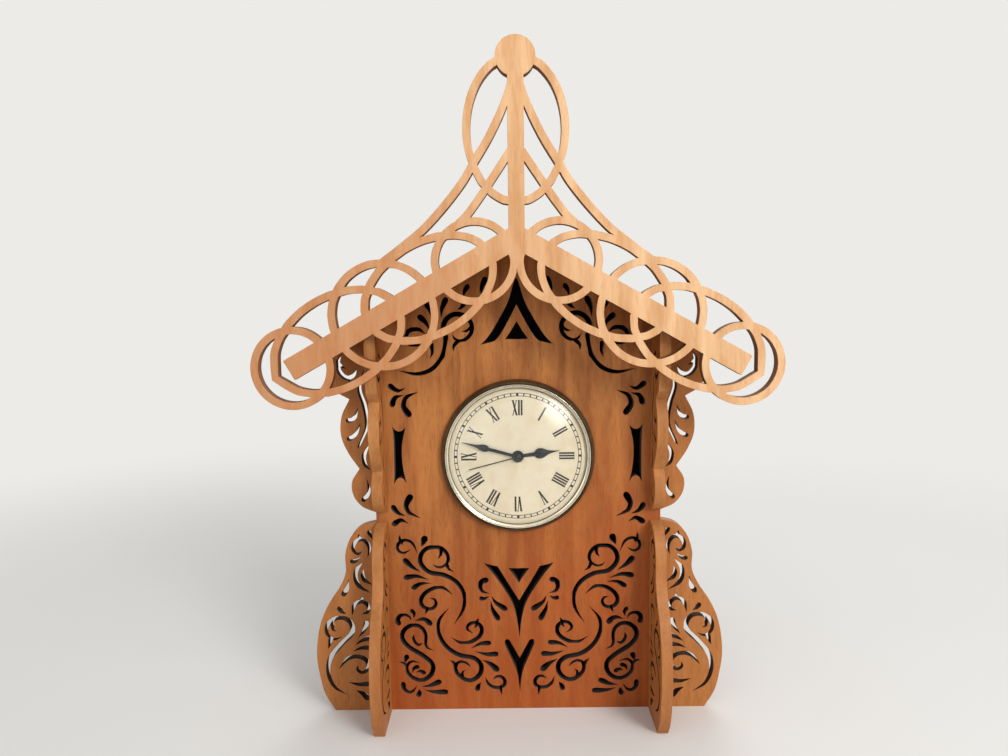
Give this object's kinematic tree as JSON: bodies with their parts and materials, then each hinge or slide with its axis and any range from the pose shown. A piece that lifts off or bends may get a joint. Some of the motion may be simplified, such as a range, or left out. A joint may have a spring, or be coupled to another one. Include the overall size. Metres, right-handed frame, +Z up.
{
  "type": "fretwork mantel clock",
  "caption": "Gabled scroll-sawn wooden mantel clock with a woven-ring bargeboard, fretwork brackets and a press-in quartz insert with Roman dial.",
  "frame": {"origin": "middle of the clock's footprint box, on the surface that it stands on", "axes": "+Z up, the dial faces -Y, +X is to the right of someone looking at the dial"},
  "size_m": [0.2896, 0.1133, 0.3856],
  "materials": {
    "wood": "satin oiled hardwood, warm orange brown",
    "pale_wood": "satin oiled hardwood, light peach",
    "black_backing": "thin hardboard painted satin black",
    "antique_brass": "spun, antique brass outside and bright inner lip",
    "clear_lens": "clear convex lens",
    "dial_paper": "matt parchment print",
    "black_plastic": "moulded",
    "black_rubber": "soft ribbed rubber",
    "green_board": "lacquered circuit board",
    "steel": "plain",
    "copper_wire": "enamelled copper winding",
    "white_plastic": "moulded",
    "battery_skin": "plain printed sleeve",
    "black_metal": "satin black"
  },
  "bodies": {
    "case": {"front_panel": "wood", "backing_board": "black_backing", "right_side_panel": "wood", "left_side_panel": "wood", "base_panel": "wood", "right_roof_panel": "wood", "left_roof_panel": "wood", "bargeboard": "pale_wood", "right_side_foot_bracket": "wood", "left_side_foot_bracket": "wood", "right_front_foot_bracket": "wood", "left_front_foot_bracket": "wood", "right_side_eave_bracket": "wood", "left_side_eave_bracket": "wood", "right_front_eave_bracket": "wood", "left_front_eave_bracket": "wood"},
    "insert": {"bezel_ring": "antique_brass", "lens": "clear_lens", "dial_plate": "dial_paper", "insert_cup": "black_plastic", "gasket_ring": "black_rubber", "movement_case": "black_plastic", "movement_cover": "black_plastic", "circuit_board": "green_board", "quartz_crystal": "steel", "coil": "copper_wire", "stator": "steel", "left_contact": "steel", "right_contact": "steel"},
    "second_arbor": {"second_wheel": "white_plastic", "second_hand": "black_metal"},
    "minute_arbor": {"centre_wheel": "white_plastic", "minute_hand": "black_metal"},
    "hour_arbor": {"hour_wheel": "white_plastic", "hour_hand": "black_metal"},
    "third_arbor": {"third_wheel": "white_plastic"},
    "motion_arbor": {"motion_wheel": "white_plastic", "setting_knob": "black_plastic"},
    "intermediate_arbor": {"intermediate_wheel": "white_plastic"},
    "rotor_arbor": {"rotor": "steel"},
    "battery": {"battery": "battery_skin"}
  },
  "joints": [
    {"name": "insert_slide", "type": "slide", "parent": "case", "child": "insert", "axis": [0, -1, 0], "range_m": [0, 0.03]},
    {"name": "second_spin", "type": "hinge", "parent": "insert", "child": "second_arbor", "pos_m": [0, 0, 0.1575], "axis": [0, 1, 0], "continuous": true},
    {"name": "minute_spin", "type": "hinge", "parent": "insert", "child": "minute_arbor", "pos_m": [0, 0, 0.1575], "axis": [0, 1, 0], "continuous": true},
    {"name": "hour_spin", "type": "hinge", "parent": "insert", "child": "hour_arbor", "pos_m": [0, 0, 0.1575], "axis": [0, 1, 0], "continuous": true},
    {"name": "third_spin", "type": "hinge", "parent": "insert", "child": "third_arbor", "pos_m": [-0.0085, 0, 0.1575], "axis": [0, 1, 0], "continuous": true},
    {"name": "motion_spin", "type": "hinge", "parent": "insert", "child": "motion_arbor", "pos_m": [0.0086, 0, 0.1575], "axis": [0, 1, 0], "continuous": true},
    {"name": "intermediate_spin", "type": "hinge", "parent": "insert", "child": "intermediate_arbor", "pos_m": [0, 0, 0.1662], "axis": [0, 1, 0], "continuous": true},
    {"name": "rotor_spin", "type": "hinge", "parent": "insert", "child": "rotor_arbor", "pos_m": [0.003, 0, 0.1714], "axis": [0, 1, 0], "continuous": true},
    {"name": "battery_slide", "type": "slide", "parent": "insert", "child": "battery", "axis": [0, 1, 0], "range_m": [0, 0.02]}
  ],
  "couplings": [
    {"joint": "minute_spin", "follows": "second_spin", "ratio": 0.016667},
    {"joint": "hour_spin", "follows": "second_spin", "ratio": 0.0013889},
    {"joint": "third_spin", "follows": "second_spin", "ratio": -0.13333},
    {"joint": "motion_spin", "follows": "second_spin", "ratio": -0.0055556},
    {"joint": "intermediate_spin", "follows": "second_spin", "ratio": -6},
    {"joint": "rotor_spin", "follows": "second_spin", "ratio": 30}
  ]
}
